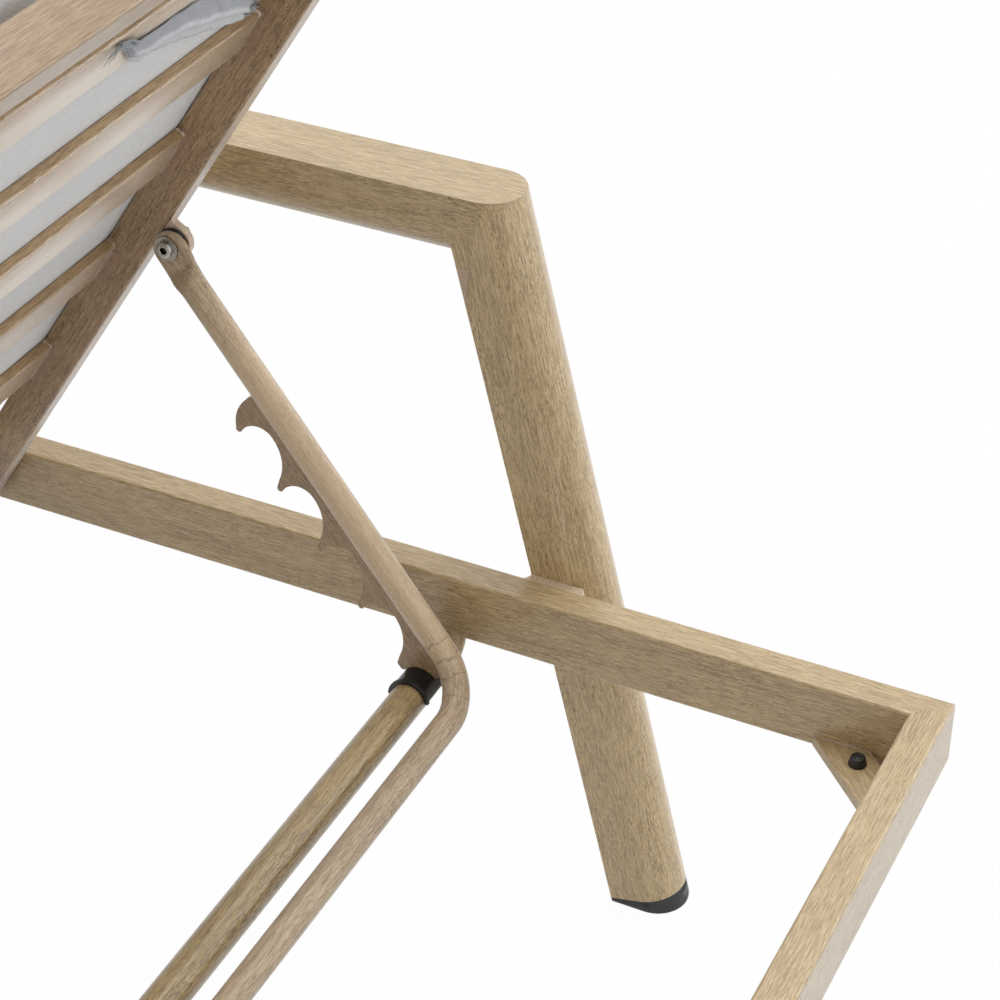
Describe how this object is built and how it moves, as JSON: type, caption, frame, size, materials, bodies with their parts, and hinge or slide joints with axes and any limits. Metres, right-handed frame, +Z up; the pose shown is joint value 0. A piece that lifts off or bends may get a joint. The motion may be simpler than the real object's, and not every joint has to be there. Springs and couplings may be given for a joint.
{
  "type": "sun lounger",
  "caption": "Sun lounger in wood-print aluminium with slatted backrest, comb-and-crossbar recline support, arms, slanted legs and grey cushions.",
  "frame": {"origin": "on the floor, midway along the frame's length and midway between its sides", "axes": "+X towards the head end, +Y across the lounger towards the side farther from the picture's camera, +Z up"},
  "size_m": [2, 0.762, 0.9446],
  "materials": {
    "wood_print": "wood-grain print, satin",
    "plastic": "matt",
    "rubber": "matt",
    "steel": "brushed",
    "fabric": "fine weave",
    "strap": "frayed tape"
  },
  "bodies": {
    "frame": {"side_rail_left": "wood_print", "side_rail_right": "wood_print", "head_rail": "wood_print", "foot_rail": "wood_print", "seat_slat_1": "wood_print", "seat_slat_2": "wood_print", "seat_slat_3": "wood_print", "seat_slat_4": "wood_print", "seat_slat_5": "wood_print", "seat_slat_6": "wood_print", "seat_slat_7": "wood_print", "seat_slat_8": "wood_print", "seat_slat_9": "wood_print", "seat_slat_10": "wood_print", "gusset_left": "wood_print", "gusset_right": "wood_print", "buffer_left": "rubber", "buffer_right": "rubber", "arm_left": "wood_print", "arm_right": "wood_print", "rear_leg_left": "wood_print", "rear_leg_right": "wood_print", "middle_leg_left": "wood_print", "middle_leg_right": "wood_print", "front_leg_left": "wood_print", "front_leg_right": "wood_print", "rear_foot_caps": "plastic", "middle_foot_caps": "plastic", "front_foot_caps": "plastic", "leg_spacers": "wood_print", "crossbar": "wood_print", "crossbar_sleeve_left": "plastic", "crossbar_sleeve_right": "plastic", "hinge_bolts": "steel", "hinge_washers": "steel", "hinge_nuts": "steel", "seat_cushion": "fabric"},
    "backrest": {"back_rail_left": "wood_print", "back_rail_right": "wood_print", "back_top_rail": "wood_print", "back_slat_1": "wood_print", "back_slat_2": "wood_print", "back_slat_3": "wood_print", "back_slat_4": "wood_print", "back_slat_5": "wood_print", "back_slat_6": "wood_print", "lug_left": "wood_print", "lug_right": "wood_print", "hinge_bushes": "plastic", "rail_end_plugs": "plastic", "pivot_bolts": "steel", "pivot_washers": "steel", "pivot_discs": "plastic", "pivot_nuts": "steel", "back_cushion": "fabric", "cushion_strap": "strap"},
    "support_bail": {"bail_tube": "wood_print", "comb_left": "wood_print", "comb_right": "wood_print"}
  },
  "joints": [
    {"name": "recline", "type": "hinge", "parent": "frame", "child": "backrest", "pos_m": [0.23, 0, 0.284], "axis": [0, 1, 0], "range_deg": [0, 57]},
    {"name": "bail_swing", "type": "hinge", "parent": "backrest", "child": "support_bail", "pos_m": [0.43313, 0, 0.5408], "axis": [0, 1, 0], "range_deg": [-108.5, 0]}
  ],
  "couplings": [
    {"joint": "bail_swing", "follows": "recline", "ratio": -1.9027}
  ]
}
